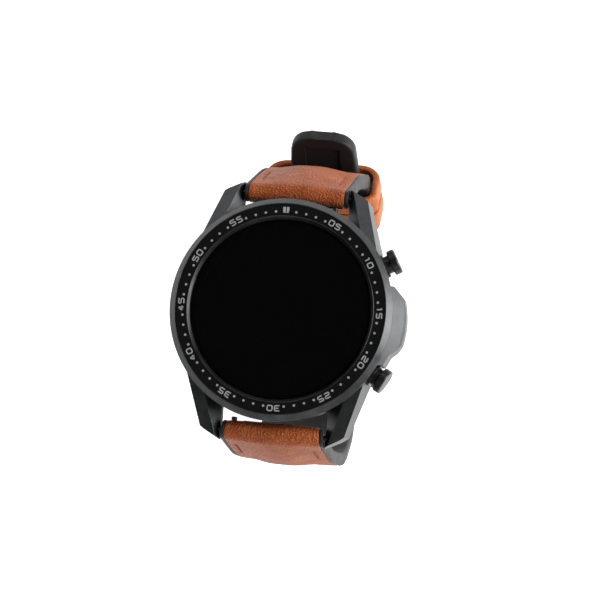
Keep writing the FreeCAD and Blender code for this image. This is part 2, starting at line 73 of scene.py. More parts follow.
upper_chain = [  # (y, z, radius) corners of the buckle half's outer face, as in the CAD model
    (bar_y + eye_r * math.cos(math.radians(22)), bar_z + eye_r * math.sin(math.radians(22)), 0),
    (33.6, -13.0, 40),
    (36.6, -28.6, 8),
    (25.4, -45.2, 22),
    (14.5, -55.4, 18),
    (5.5, -55.0, 0),
]
tail_offset = 3.4  # from the buckle half's outer face to the tail's outer face
tail_reach = 8.8  # from the strap's bend to the tail's tip
bend, below_bend = Vector(upper_chain[2][:2]), Vector(upper_chain[3][:2])
tail_way = (bend - below_bend).normalized()
tail_out = Vector((tail_way.y, -tail_way.x))
tail_tip = bend + tail_out * tail_offset + tail_way * tail_reach
hole_count, hole_pitch, hole_length, hole_width = 7, 6.4, 4.2, 2.3
seam_in = 2.7  # from the strap's edge to its seams
seam_dent = 0.2  # how far the seams pull the leather in
pad_height = 1.55  # of the padding behind each rolled end
tip_margin = 0.8  # of bare rubber past the leather at the tail's tip


def left_of(way):
    return Vector((-way.y, way.x))


def moved_corner(before, corner, after, distance):
    """A chain's corner, moved so that both its runs move left by the same distance."""
    a, b, c = (Vector(p[:2]) for p in (before, corner, after))
    one, two = left_of((b - a).normalized()), left_of((c - b).normalized())
    return b + (one + two) * (distance / (1 + one.dot(two)))


lower_chain = [
    (-bar_y - eye_r, bar_z, 0),
    (-28.6, -14.0, 60),
    (-27.6, -31.0, 30),
    (-19.5, -46.0, 24),
    (buckle_bar.x - 12.5, buckle_bar.y - 2.0, 20),
    (buckle_bar.x - 0.5, upper_chain[-1][1] - tail_offset - 0.1, 14),
    (*moved_corner(*upper_chain[5:2:-1], -tail_offset), 20),
    (*moved_corner(*upper_chain[4:1:-1], -tail_offset), 25),
    (*tail_tip, 0),
]


# ------------------------------------------------------------------ mesh helpers
def mesh_object(name, points, faces, smooth_angle=40):
    """A closed mesh from millimetre points, smooth but for its sharp edges."""
    mesh = bpy.data.meshes.new(name)
    mesh.from_pydata([Vector(p) * MM for p in points], [], faces)
    form = bmesh.new()
    form.from_mesh(mesh)
    bmesh.ops.recalc_face_normals(form, faces=form.faces)
    form.to_mesh(mesh)
    form.free()
    obj = bpy.data.objects.new(name, mesh)
    bpy.context.scene.collection.objects.link(obj)
    shade(obj, smooth_angle)
    return obj


def shade(obj, smooth_angle):
    obj.data.shade_smooth()
    if smooth_angle < 180:
        obj.data.set_sharp_from_angle(angle=math.radians(smooth_angle))


def finish_piece(obj, material, slot, body, *replaced):
    """Gives a piece its material and its body; slot is not used."""
    obj.data.materials.append(material)
    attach(obj, body)
    if replaced:
        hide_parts(*replaced)


def carve(obj, cutters):
    """Cuts closed meshes out of a piece."""
    for cutter in cutters:
        tool = obj.modifiers.new("cut", "BOOLEAN")
        tool.object = cutter
        tool.solver = "EXACT"
    bpy.context.view_layer.update()
    graph = bpy.context.evaluated_depsgraph_get()
    cut = bpy.data.meshes.new_from_object(obj.evaluated_get(graph))
    obj.modifiers.clear()
    obj.data = cut
    for cutter in cutters:
        bpy.data.objects.remove(cutter)
    shade(obj, 40)


def box_cutter(low, high):
    xs, ys, zs = zip(low, high)
    corners = [(x, y, z) for x in xs for y in ys for z in zs]
    faces = [(0, 1, 3, 2), (4, 6, 7, 5), (0, 4, 5, 1), (2, 3, 7, 6), (0, 2, 6, 4), (1, 5, 7, 3)]
    return mesh_object("cutter", corners, faces)


def sweep(name, sections):
    """A closed tube through rings of points, with the first and last ring capped."""
    count = len(sections[0])
    points = [p for ring in sections for p in ring]
    faces = []
    for i in range(len(sections) - 1):
        for k in range(count):
            a, b = i * count + k, i * count + (k + 1) % count
            faces.append((a, b, b + count, a + count))
    last = (len(sections) - 1) * count
    faces += [tuple(range(count)), tuple(range(last, last + count))]
    return mesh_object(name, points, faces)


def smooth(low, high, value):
    """0 below low, 1 above high, and a smooth rise between them."""
    t = min(1.0, max(0.0, (value - low) / (high - low)))
    return t * t * (3 - 2 * t)


def along_table(table, value):
    """Linear interpolation in a table of (value, result)."""
    for (a, fa), (b, fb) in zip(table, table[1:]):
        if value <= b:
            return fa + (fb - fa) * max(0.0, (value - a) / (b - a))
    return table[-1][1]


# ------------------------------------------------------------------ strap stations
# A station is (point, outward normal, distance along the strap), point and normal in (y, z).
def arc_run(centre, radius, turn_from, turn_to):
    """Points and normals round a centre, angles in degrees from +Y towards +Z."""
    count = max(2, round(abs(math.radians(turn_to - turn_from)) * radius / station_step))
    run = []
    for k in range(count):
        a = math.radians(turn_from + (turn_to - turn_from) * k / count)
        n = Vector((math.cos(a), math.sin(a)))
        run.append((centre + n * radius, n))
    return run


def chain_run(corners, side):
    """Points and outward normals along a chain; side is 1 if outward is left of it, else -1."""
    points = [Vector(c[:2]) for c in corners]
    run = []
    start = points[0]
    for i in range(1, len(points)):
        way = (points[i] - points[i - 1]).normalized()
        end = points[i]
        if i < len(points) - 1:
            after = (points[i + 1] - points[i]).normalized()
            turn = math.atan2(way.x * after.y - way.y * after.x, way.dot(after))
            reach = corners[i][2] * math.tan(abs(turn) / 2)
            end = points[i] - way * reach
        count = max(1, round((end - start).length / station_step))
        run += [(start.lerp(end, k / count), left_of(way) * side) for k in range(count)]
        if i == len(points) - 1:
            return run + [(end, left_of(way) * side)]
        bending = math.copysign(1, turn)
        centre = end + left_of(way) * corners[i][2] * bending
        count = max(2, round(abs(turn) * corners[i][2] / station_step))
        for k in range(count):
            turned = Matrix.Rotation(turn * k / count, 2)
            run.append((centre + turned @ (end - centre), turned @ left_of(way) * side))
        start = points[i] + after * reach


def with_distance(run, origin):
    """Adds to each station its distance along the strap, 0 at the station numbered origin."""
    lengths = [0.0]
    for (a, _), (b, _) in zip(run, run[1:]):
        lengths.append(lengths[-1] + (b - a).length)
    return [(p, n, s - lengths[origin]) for (p, n), s in zip(run, lengths)]


eye_run = arc_run(Vector((bar_y, bar_z)), eye_r, 250, 22)
end_run = arc_run(buckle_bar, buckle_eye_r, -92, -290)
upper_run = eye_run + chain_run(upper_chain, 1)
upper_end = len(upper_run)
upper_stations = with_distance(upper_run + end_run, len(eye_run))
upper_length = upper_stations[upper_end - 1][2]
low_eye_run = arc_run(Vector((-bar_y, bar_z)), eye_r, -70, 176)
lower_stations = with_distance(low_eye_run + chain_run(lower_chain, -1), len(low_eye_run))
lower_length = lower_stations[-1][2]


def upper_half_width(point):
    return along_table([(-57, 9.8), (-4, 10.9), (10, 10.9)], point.y)


def lower_half_width(point):
    widths = [(-33, 10.9), (-27, 10.9), (-15, 9.7), (8, 9.2), (34, 7.9), (46, 6.6)]
    return along_table(widths, point.x)


def upper_thickness(s):
    """Whole thickness of the buckle half, less round the lug bar and the buckle bar."""
    grown = bar_wall + (upper_t - bar_wall) * smooth(0, 3.4, s)
    thinned = upper_t - buckle_eye_r + buckle_hole_r
    return grown - thinned * smooth(upper_length - 2.2, upper_length, s)


def lower_thickness(s):
    """Whole thickness of the long half, less round the lug bar."""
    return bar_wall + (lower_t - bar_wall) * smooth(0, 3.4, s)


def tip_inset(s):
    """How much the long half draws in at its rounded tip."""
    corner_r = 4.1
    left = max(0.0, corner_r - (lower_length - s))
    return corner_r - math.sqrt(max(0.0, corner_r ** 2 - left ** 2)) if left else 0.0


# ------------------------------------------------------------------ strap sections
def padding(s, x, half):
    """Height of the padding: it swells behind the rolled end and is gone where the tail lies."""
    length = smooth(-5.0, 10.0, s) * (1 - smooth(11, 31, s))
    across = 1 - smooth(0.15, 1.0, abs(x) / (half - 0.9))
    return pad_height * length * across


def seam_groove(s, x, half, runs):
    """Depth of the dent along the seams' stitched stretches."""
    near = math.exp(-((abs(x) - (half - seam_in)) / 0.42) ** 2)
    stitched = max(smooth(a - 1, a, s) * (1 - smooth(b, b + 1, s)) for a, b in runs)
    return seam_dent * near * stitched


def surface_wave(x, s):
    """Soft unevenness of hand-finished leather."""
    broad = noise.noise(Vector((x * 0.16, s * 0.13, 3.1)))
    fine = noise.noise(Vector((x * 0.55, s * 0.5, 8.7)))
    return 0.1 * broad + 0.03 * fine


def leather_ring(station, half, runs):
    """Section of the leather layer: rounded edges, a crowned face and a flat back."""
    point, normal, s = station
    half -= edge_step
    edge_r, crown_height = 0.42, 0.12
    flat = half - edge_r
    outline = []
    across = 44
    for k in range(across + 1):
        x = -flat + 2 * flat * k / across
        crown = crown_height * (1 - (x / flat) ** 4)
        dent = seam_groove(s, x, half + edge_step, runs)
        n = crown - crown_height + padding(s, x, half) - dent + surface_wave(x, s)
        outline.append((x, n))
    edge_low = outline[-1][1]
    for k in range(1, 4):
        a = math.pi / 2 * k / 3
        outline.append((flat + edge_r * math.sin(a), edge_low - edge_r * (1 - math.cos(a))))
    outline += [(half - 2 * half * k / 8, -skin_t) for k in range(9)]
    left_low = outline[0][1]
    for k in range(2, -1, -1):
        a = math.pi / 2 * (k + 1) / 3
        outline.append((-flat - edge_r * math.sin(a), left_low - edge_r * (1 - math.cos(a))))
    return [(x, *(point + normal * n)) for x, n in outline]


tray_gap = 0.02  # between the leather's back and the lining under it
bare_tray = 0.34  # depth of the lining's face where no leather lies on it


def lining_ring(station, half, thickness, tray=skin_t + tray_gap):
    """Section of the rubber lining: a tray whose rims stand beside the leather."""
    point, normal, s = station
    rim, inner = -0.22, half - edge_step + 0.04
    low = -thickness
    soft = min(0.7, (thickness - skin_t) * 0.6)
    outline = [(-inner, rim - 0.1), (-inner, -tray), (inner, -tray), (inner, rim - 0.1)]
    outline += [(inner + 0.12, rim), (half - 0.3, rim)]
    outline += [(half - 0.08, rim - 0.09), (half, rim - 0.35)]
    for k in range(5):
        a = math.pi / 2 * k / 4
        outline.append((half - soft * (1 - math.cos(a)), low + soft * (1 - math.sin(a))))
    outline += [(half - soft - 2 * (half - soft) * k / 12, low) for k in range(1, 12)]
    for k in range(4, -1, -1):
        a = math.pi / 2 * k / 4
        outline.append((-half + soft * (1 - math.cos(a)), low + soft * (1 - math.sin(a))))
    outline += [(-half, rim - 0.35), (-half + 0.08, rim - 0.09)]
    outline += [(-half + 0.3, rim), (-inner - 0.12, rim)]
    return [(x, *(point + normal * n)) for x, n in outline]


def hole_cutters():
    """The oblong adjusting holes, the fourth of them round the buckle's tongue."""
    holes_before, rounding = 3, 12
    tongue_tip = 3.3  # from the buckle's bar
    below_case = 60  # distance along the strap past which it runs under the case
    chain = lower_stations[len(low_eye_run):]
    first = next(s for p, n, s in chain if s > below_case and p.x >= buckle_bar.x - tongue_tip)
    cutters = []
    for k in range(-holes_before, hole_count - holes_before):
        point, normal, s = min(chain, key=lambda st: abs(st[2] - first - k * hole_pitch))
        way = Vector((normal.y, -normal.x))
        ring = []
        for j in range(2 * rounding):
            a = math.pi * (j + 0.5) / rounding
            half = math.copysign((hole_length - hole_width) / 2, math.cos(a))
            ring.append((hole_width / 2 * math.sin(a), half + hole_width / 2 * math.cos(a)))
        levels = [[(x, *(point + way * v + normal * n)) for x, v in ring] for n in (3, -6)]
        cutters.append(sweep("cutter", levels))
    return cutters


def knob_notch(side):
    """Room in the rolled end for the release knob: the upper one at +X, the lower one at -X."""
    near_x, far_x, depth, half_height = 6.2, 9.6, 4, 0.8
    xs = sorted((side * near_x, side * far_x))
    ys = sorted((side * (bar_y - depth), side * bar_y))
    return box_cutter((xs[0], ys[0], bar_z - half_height), (xs[1], ys[1], bar_z + half_height))


def tongue_notch():
    """Room round the buckle's bar for the tongue."""
    return box_cutter((-1.3, buckle_bar.x - 3, -60), (1.3, buckle_bar.x + 2.4, -50))


def tail_panel_cutter():
    """The shallow oblong panel pressed into the lining near the tail's tip."""
    depth, half_width, long_run, start = 0.35, 3.8, 16.0, 2.8
    base = tail_tip - tail_out * (lower_t - depth)
    away = base - tail_out * 2
    stop = start + long_run
    sides = [(-half_width, start), (half_width, start), (half_width, stop), (-half_width, stop)]
    ring = [(x, *(origin - tail_way * d)) for origin in (base, away) for x, d in sides]
    faces = [(0, 1, 2, 3), (7, 6, 5, 4), (0, 4, 5, 1), (1, 5, 6, 2), (2, 6, 7, 3), (3, 7, 4, 0)]
    return mesh_object("cutter", ring, faces)


def thread_stitches(name, stations, half_width, runs, slant):
    """Short seams on both sides: each stitch is a bead of thread half sunk in the leather."""
    stitch_pitch = 2.1
    points, faces = [], []
    for start, stop in runs:
        count = round((stop - start) / stitch_pitch)
        for k in range(count):
            s = start + (k + 0.5) * (stop - start) / count
            point, normal, _ = min(stations, key=lambda st: abs(st[2] - s))
            way = Vector((normal.y, -normal.x))
            half = half_width(point)
            for side in (-1, 1):
                x0 = side * (half - seam_in)
                n0 = padding(s, x0, half - edge_step) - seam_dent + surface_wave(x0, s)
                add_bead(points, faces, point + normal * n0, way, normal, x0, side * slant)
    return mesh_object(name, points, faces, 180)


def add_bead(points, faces, point, way, normal, x0, slant):
    """A stitch 1.5 mm long whose ends dive into the leather."""
    rings, round_count, half_length, thread_r = 9, 8, 0.78, 0.2
    base = len(points)
    for i in range(rings):
        u = -1 + 2 * i / (rings - 1)
        r = thread_r * math.sqrt(max(0.02, 1 - abs(u) ** 3))
        lift = 0.1 - 0.22 * u * u  # the middle stands up and the ends go under
        for k in range(round_count):
            a = 2 * math.pi * k / round_count
            at = point + way * (half_length * u) + normal * (lift + r * math.sin(a))
            points.append((x0 + r * math.cos(a) + slant * u, at.x, at.y))
    for i in range(rings - 1):
        for k in range(round_count):
            a, b = base + i * round_count + k, base + i * round_count + (k + 1) % round_count
            faces.append((a, b, b + round_count, a + round_count))
    faces.append(tuple(range(base, base + round_count)))
    faces.append(tuple(range(base + (rings - 1) * round_count, base + rings * round_count)))


# ------------------------------------------------------------------ materials
class Graph:
    """A Principled material and short calls for the nodes in front of it."""

    def __init__(self, name, **sockets):
        self.material = bpy.data.materials.new(name)
        self.material.use_nodes = True
        self.tree = self.material.node_tree
        self.shader = self.tree.nodes["Principled BSDF"]
        for socket, value in sockets.items():
            self.shader.inputs[socket.replace("_", " ")].default_value = value

    def node(self, kind, inputs=(), **settings):
        made = self.tree.nodes.new(kind)
        for key, value in settings.items():
            setattr(made, key, value)
        for key, value in dict(inputs).items():
            self.put(made.inputs[key], value)
        return made

    def put(self, socket, value):
        if isinstance(value, bpy.types.NodeSocket):
            self.tree.links.new(value, socket)
        else:
            socket.default_value = value

    def set(self, socket, value):
        self.put(self.shader.inputs[socket], value)

    def place(self, scale=(1, 1, 1)):
        """Position in the frame in millimetres, stretched by a scale."""
        at = self.node("ShaderNodeTexCoord").outputs["Object"]
        sizes = tuple(1 / MM * k for k in scale)
        return self.node("ShaderNodeMapping", {"Vector": at, "Scale": sizes}).outputs["Vector"]

    def noise(self, at, scale, detail=3.0, roughness=0.5):
        inputs = {"Vector": at, "Scale": scale, "Detail": detail, "Roughness": roughness}
        return self.node("ShaderNodeTexNoise", inputs).outputs["Fac"]

    def cells(self, at, scale, smoothness=None):
        """Distance to the nearest of many scattered points, soft between cells if asked."""
        inputs = {"Vector": at, "Scale": scale}
        if smoothness is None:
            return self.node("ShaderNodeTexVoronoi", inputs, feature="F1").outputs["Distance"]
        made = self.node("ShaderNodeTexVoronoi", inputs, feature="SMOOTH_F1")
        made.inputs["Smoothness"].default_value = smoothness
        return made.outputs["Distance"]

    def span(self, value, low, high, to_low=0.0, to_high=1.0):
        """A value's run from low to high, stretched to another run and clamped."""
        ends = {"Value": value, "From Min": low, "From Max": high}
        ends |= {"To Min": to_low, "To Max": to_high}
        return self.node("ShaderNodeMapRange", ends).outputs["Result"]

    def math(self, operation, a, b=0.0):
        return self.node("ShaderNodeMath", {0: a, 1: b}, operation=operation).outputs[0]

    def mix(self, fac, a, b):
        made = self.node("ShaderNodeMix", data_type="RGBA")
        self.put(made.inputs["Factor"], fac)
        self.put(made.inputs["A"], (*a, 1.0) if isinstance(a, tuple) else a)
        self.put(made.inputs["B"], (*b, 1.0) if isinstance(b, tuple) else b)
        return made.outputs["Result"]

    def bump(self, height, depth_mm, normal=None):
        """Relief of a given depth, laid over another normal if one is given."""
        inputs = {"Height": height, "Distance": depth_mm * MM, "Strength": 1.0}
        if normal is not None:
            inputs["Normal"] = normal
        return self.node("ShaderNodeBump", inputs).outputs["Normal"]

    def soft_edges(self, radius_mm):
        return self.node("ShaderNodeBevel", {"Radius": radius_mm * MM}, samples=4).outputs["Normal"]

    def edge_mask(self, radius_mm):
        """1 along sharp edges, 0 on the faces between them."""
        rounded = self.soft_edges(radius_mm)
        flat = self.node("ShaderNodeNewGeometry").outputs["Normal"]
        facing = self.node("ShaderNodeVectorMath", {0: rounded, 1: flat}, operation="DOT_PRODUCT")
        return self.span(facing.outputs["Value"], 0.995, 0.9)


def blasted_metal(name, colour, roughness, brushed=None):
    """Dark coated steel: fine blasting or brushing, faint blotches and rubbed edges."""
    g = Graph(name, Metallic=0.9, Roughness=roughness)
    blotch = g.noise(g.place(), 0.35, 4)
    worn = g.edge_mask(0.12)
    light = tuple(c * 1.25 for c in colour)
    dark = tuple(c * 0.8 for c in colour)
    rubbed = tuple(c + 0.12 for c in colour)
    base = g.mix(g.span(blotch, 0.3, 0.7), dark, light)
    rubbing = g.math("MULTIPLY", worn, g.span(blotch, 0.3, 0.7, 0.3, 0.9))
    g.set("Base Color", g.mix(rubbing, base, rubbed))
    g.set("Roughness", g.span(blotch, 0.25, 0.75, roughness - 0.05, roughness + 0.07))
    grain_at = g.place(brushed or (1, 1, 1))
    grain = g.noise(grain_at, 6.0 if brushed else 9.0, 2)
    g.set("Normal", g.bump(grain, 0.012 if brushed else 0.007, g.soft_edges(0.1)))
    return g.material


def plain(name, colour, roughness, metallic=0.0, grain=8.0, depth=0.01, **sockets):
    """A moulded or rolled surface with fine grain and slight blotches."""
    g = Graph(name, Metallic=metallic, **sockets)
    blotch = g.noise(g.place(), 0.5, 4)
    dark, light = tuple(c * 0.85 for c in colour), tuple(min(1, c * 1.15) for c in colour)
    g.set("Base Color", g.mix(blotch, dark, light))
    g.set("Roughness", g.span(blotch, 0.25, 0.75, roughness - 0.05, roughness + 0.05))
    g.set("Normal", g.bump(g.noise(g.place(), grain, 2), depth, g.soft_edges(0.06)))
    return g.material


def leather(name, low, high, painted_shade_colour, crease_shade_strength, depth):
    """Tanned leather: pebble grain, fine pores, a cloudy dye, painted shade in its creases and
    painted shade in shut-in parts.
    """
    g = Graph(name, Specular_IOR_Level=0.24)
    at = g.place()
    warp = g.node("ShaderNodeTexNoise", {"Vector": at, "Scale": 0.8, "Detail": 2.0})
    moved = g.node("ShaderNodeVectorMath", {0: at, 1: warp.outputs["Color"]}, operation="ADD")
    bent = moved.outputs["Vector"]
    pebbles = g.cells(bent, 2.3, 0.4)
    pores = g.cells(bent, 6.5)
    cloud = g.noise(at, 0.22, 5, 0.6)
    fine = g.noise(at, 3.0, 4, 0.6)
    dye = g.mix(g.span(cloud, 0.32, 0.68), low, high)
    # painted shade in the grain's valleys between the pebbles, mixed towards the dark brown
    painted_crease_shade = g.math("MULTIPLY", g.span(pebbles, 0.3, 0.62), g.span(fine, 0.35, 0.7, 0.35, 1.0))
    # painted shade: the colour is pulled towards a near-black brown where ambient occlusion finds
    # shut-in parts, as inside the keepers
    openness_for_painted_shade = g.node("ShaderNodeAmbientOcclusion", {"Distance": 6 * MM}, samples=6).outputs["AO"]
    dye_with_crease_shade = g.mix(g.math("MULTIPLY", painted_crease_shade, crease_shade_strength), dye, painted_shade_colour)
    g.set("Base Color", g.mix(g.span(openness_for_painted_shade, 0.15, 0.6), painted_shade_colour, dye_with_crease_shade))
    g.set("Roughness", g.span(fine, 0.3, 0.7, 0.44, 0.62))
    pits = g.math("MULTIPLY", g.span(pores, 0.25, 0.0), 0.35)
    grain = g.bump(g.math("SUBTRACT", g.span(pebbles, 0.62, 0.15), pits), depth)
    g.set("Normal", g.bump(fine, 0.03, grain))
    return g.material


def rubber(name, colour):
    """Matt black rubber with a little dust."""
    g = Graph(name, Specular_IOR_Level=0.42, Sheen_Weight=0.07, Sheen_Roughness=0.35)
    at = g.place()
    dust = g.noise(at, 0.6, 5, 0.65)
    g.set("Base Color", g.mix(g.span(dust, 0.35, 0.75), colour, tuple(c * 1.6 for c in colour)))
    g.set("Roughness", g.span(dust, 0.3, 0.7, 0.5, 0.68))
    g.set("Normal", g.bump(g.noise(at, 7.0, 3), 0.012, g.soft_edges(0.1)))
    return g.material


def thread(name, colour):
    """Twisted thread: slanted plies across each stitch."""
    g = Graph(name, Roughness=0.75)
    inputs = {"Vector": g.place(), "Scale": 1.6}
    plies = g.node("ShaderNodeTexWave", inputs, bands_direction="DIAGONAL").outputs["Fac"]
    g.set("Base Color", g.mix(plies, tuple(c * 0.7 for c in colour), colour))
    g.set("Normal", g.bump(plies, 0.04))
    return g.material


def clear_glass(name, tint, roughness):
    """Tinted glass with faint smears."""
    g = Graph(name, Transmission_Weight=1.0, IOR=1.35, Specular_IOR_Level=0.2)
    smear = g.noise(g.place((0.5, 1.5, 1)), 0.12, 4, 0.6)
    g.set("Base Color", g.mix(smear, tuple(c * 0.97 for c in tint), tint))
    g.set("Roughness", g.span(smear, 0.4, 0.8, roughness * 0.4, roughness))
    return g.material


def dark_display():
    """The unlit screen: near black, with a faint cloudiness."""
    g = Graph("display_black", Roughness=0.5, Specular_IOR_Level=0.1)
    cloud = g.noise(g.place(), 0.1, 2)
    g.set("Base Color", g.mix(cloud, (0.0008, 0.0008, 0.001), (0.0016, 0.0016, 0.0018)))
    return g.material


metal_dark = blasted_metal("gunmetal_case", (0.066, 0.068, 0.070), 0.36)
metal_bezel = blasted_metal("gunmetal_bezel", (0.068, 0.070, 0.072), 0.34)
metal_pusher = blasted_metal("gunmetal_pusher", (0.045, 0.046, 0.048), 0.34)
metal_buckle = blasted_metal("gunmetal_buckle", (0.055, 0.056, 0.058), 0.36, (8, 0.4, 0.4))
metal_pin = plain("dark_pin_steel", (0.05, 0.05, 0.052), 0.35, 0.95, 12.0, 0.004)
metal_spring = plain("spring_steel", (0.5, 0.5, 0.52), 0.3, 1.0, 12.0, 0.004)
print_grey = plain("printed_numerals", (0.34, 0.34, 0.34), 0.6, 0.0, 14.0, 0.004)
insert_black = plain(
    "insert_black", (0.0035, 0.0035, 0.004), 0.5, 0.0, 10.0, 0.004, Specular_IOR_Level=0.12
)
tan_leather = leather(
    "tan_leather", (0.37, 0.079, 0.017), (0.54, 0.136, 0.034), (0.08, 0.014, 0.004), 0.55, 0.2
)
keeper_leather = leather(
    "keeper_leather", (0.42, 0.112, 0.030), (0.56, 0.172, 0.052), (0.2, 0.05, 0.018), 0.25, 0.07
)
black_rubber = rubber("black_rubber", (0.006, 0.006, 0.0065))
seam_thread = thread("tan_thread", (0.36, 0.09, 0.028))

node_materials = {
    "mid_case": metal_dark,
    "bezel_ring": metal_bezel,
    "bezel_insert": insert_black,
    "cover_glass": clear_glass("cover_glass_smoked", (0.2, 0.2, 0.22), 0.0),
    "sensor_window": clear_glass("sensor_glass", (0.25, 0.25, 0.28), 0.05),
    "display_panel": dark_display(),
    "glass_gasket": black_rubber,
    "rear_gasket": black_rubber,
    "inner_frame": plain("frame_moulding", (0.02, 0.02, 0.022), 0.5),
    "speaker_module": plain("speaker_moulding", (0.015, 0.015, 0.016), 0.45),
    "pusher_switches": plain("switch_moulding", (0.03, 0.03, 0.03), 0.5),
    "main_board": plain("circuit_green", (0.012, 0.09, 0.04), 0.4, 0.0, 3.0, 0.02),
    "sensor_board": plain("sensor_circuit", (0.010, 0.05, 0.03), 0.4, 0.0, 3.0, 0.02),
    "board_shields": plain("tinned_shield", (0.55, 0.55, 0.56), 0.3, 1.0, 5.0, 0.006),
    "battery": plain("battery_foil", (0.10, 0.10, 0.12), 0.35, 0.6, 2.0, 0.03),
    "haptic_can": plain("motor_steel", (0.55, 0.55, 0.57), 0.28, 1.0, 8.0, 0.004),
    "haptic_rotor": plain("sintered_weight", (0.25, 0.25, 0.26), 0.5, 0.9, 6.0, 0.02),
    "sensor_leds": plain("lamp_bodies", (0.35, 0.5, 0.38), 0.2, 0.0, 6.0, 0.004),
    "charging_contacts": plain("gold_plate", (0.9, 0.6, 0.25), 0.22, 1.0, 10.0, 0.003),
    "rear_cover": plain(
        "rear_gloss", (0.006, 0.006, 0.007), 0.16, 0.0, 5.0, 0.003, Coat_Weight=0.3
    ),
    "case_screws": metal_pin,
    "buckle_frame": metal_buckle,
    "buckle_tongue": metal_buckle,
    "buckle_bar": metal_pin,
}
for end in ("upper_", "lower_"):
    node_materials |= {
        end + "pusher": metal_pusher,
        end + "pusher_collar": plain(end + "collar_black", (0.008, 0.008, 0.009), 0.35),
        end + "pusher_seal": black_rubber,
        end + "pusher_spring": metal_spring,
        end + "pusher_clip": metal_spring,
        end + "spring_bar": metal_pin,
        end + "bar_spring": metal_spring,
        end + "release_lever": metal_pin,
    }
for node, material in node_materials.items():
    for material_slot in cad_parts[node].material_slots:
        material_slot.material = material


# ------------------------------------------------------------------ the strap's pieces
# Each seam runs from one distance along the strap to another.
lug_seams = [(4.6, 13.0)]
end_seams = [(upper_length - 7.4, upper_length - 3.2)]


def build_strap():
    """Both halves: a leather layer, a rubber lining and the stitches on each."""
    upper_runs = lug_seams + end_seams
    rings = [leather_ring(st, upper_half_width(st[0]), upper_runs) for st in upper_stations]
    skin = sweep("buckle_half_leather", rings)
    carve(skin, [knob_notch(1), tongue_notch()])
    finish_piece(skin, tan_leather, "strap_leather", "buckle_half", "buckle_strap_leather")

    rings = [
        lining_ring(st, upper_half_width(st[0]), upper_thickness(st[2])) for st in upper_stations
    ]
    lining = sweep("buckle_half_lining", rings)
    carve(lining, [knob_notch(1), tongue_notch()])
    finish_piece(lining, black_rubber, "strap_lining", "buckle_half", "buckle_strap_lining")

    covered = [st for st in lower_stations if st[2] < lower_length - tip_margin]
    rings = []
    for st in covered:
        half = lower_half_width(st[0]) - tip_inset(st[2] + tip_margin)
        rings.append(leather_ring(st, half, lug_seams))
    skin = sweep("long_half_leather", rings)
    carve(skin, [knob_notch(-1)] + hole_cutters())
    finish_piece(skin, tan_leather, "strap_leather", "long_half", "long_strap_leather")

    rings = []
    for st in lower_stations:
        half = lower_half_width(st[0]) - tip_inset(st[2])
        tray = skin_t + tray_gap if st in covered else bare_tray
        rings.append(lining_ring(st, half, lower_thickness(st[2]), tray))
    lining = sweep("long_half_lining", rings)
    carve(lining, [knob_notch(-1), tail_panel_cutter()] + hole_cutters())
    finish_piece(lining, black_rubber, "strap_lining", "long_half", "long_strap_lining")

    halves = (
        ("buckle_half", upper_stations, upper_half_width, upper_runs),
        ("long_half", lower_stations, lower_half_width, lug_seams),
    )
    for body, stations, half_width, runs in halves:
        stitches = thread_stitches(body + "_stitches", stations, half_width, runs, 0.1)
        finish_piece(stitches, seam_thread, "strap_leather", body)


keeper_length, keeper_wall = 5.0, 1.25
keeper_outer_r, keeper_wrist_r = 4.3, 2.7  # corners on the outer side and on the wrist side
free_keeper_start, fixed_keeper_start = 12.3, 6.9


def keeper_loop(name, node, body, way_start, grow, phase):
    """A closed band of leather round both halves, starting way_start up from the lower bend."""
    half_width, inward, outward = 11.0 + grow / 2, 4.35, 4.0 + grow
    shift = -0.35  # the bands hang a little to -X
    right, left = half_width, -half_width
    corners = [
        (right, outward, keeper_outer_r),
        (left, outward, keeper_outer_r),
        (left, -inward, keeper_wrist_r),
        (right, -inward, keeper_wrist_r),
    ]
    centres = []
    for x, n, outer_r in corners:
        r = outer_r - keeper_wall
        centres.append((x - math.copysign(r, x), n - math.copysign(r, n), r))
    path = []
    per_corner, per_side = 10, 16
    for c, centre in enumerate(centres):
        for k in range(per_corner + 1):
            path.append((*centre, math.radians(90 * c + 90 * k / per_corner)))
        after = centres[(c + 1) % 4]
        for k in range(1, per_side):
            between = Vector(centre).lerp(Vector(after), k / per_side)
            path.append((*between, math.radians(90 * (c + 1))))
    rings = []
    for i, (cx, cn, inner_r, a) in enumerate(path):
        wobble = 0.09 * noise.noise(Vector((i * 0.12 + phase, phase, 0)))
        belly = 0.3 * math.cos(a) ** 2
        rings.append(keeper_section((cx + shift, cn), a, inner_r, wobble + belly, way_start))
    count = len(rings[0])
    points = [p for ring in rings for p in ring]
    faces = []
    for i in range(len(rings)):
        for k in range(count):
            j, m = (i + 1) % len(rings), (k + 1) % count
            faces.append((i * count + k, i * count + m, j * count + m, j * count + k))
    loop = mesh_object(name, points, faces, 60)
    finish_piece(loop, keeper_leather, "keeper_leather", body, node)


def keeper_section(centre, a, inner_r, swell, way_start):
    """A rounded bar's outline across the band, crowned on its outer side."""
    soft, crown, across = 0.38, 0.12, 10
    half = keeper_length / 2
    outline = []
    for k in range(across + 1):
        u = -1 + 2 * k / across
        outline.append((u * (half - soft), keeper_wall + crown * (1 - u * u)))
    edge = []
    for k in (1, 2, 3):
        b = math.pi / 2 * k / 3
        edge.append((half - soft + soft * math.sin(b), keeper_wall - soft * (1 - math.cos(b))))
    edge += [(half - 0.1, 0.1), (half - 0.3, 0.0)]
    outline += edge + [(0, 0.0)] + [(-v, r) for v, r in reversed(edge)]
    ring = []
    for v, r in outline:
        reach = inner_r + r + swell * (r / keeper_wall)
        x, n = centre[0] + reach * math.cos(a), centre[1] + reach * math.sin(a)
        at = below_bend + tail_way * (way_start + half + v) + tail_out * n
        ring.append((x, at.x, at.y))
    return ring


build_strap()
keeper_loop("free_keeper_loop", "free_keeper", "sliding_keeper", free_keeper_start, 0.0, 2.0)
keeper_loop("fixed_keeper_loop", "fixed_keeper", "buckle_half", fixed_keeper_start, 0.4, 9.0)


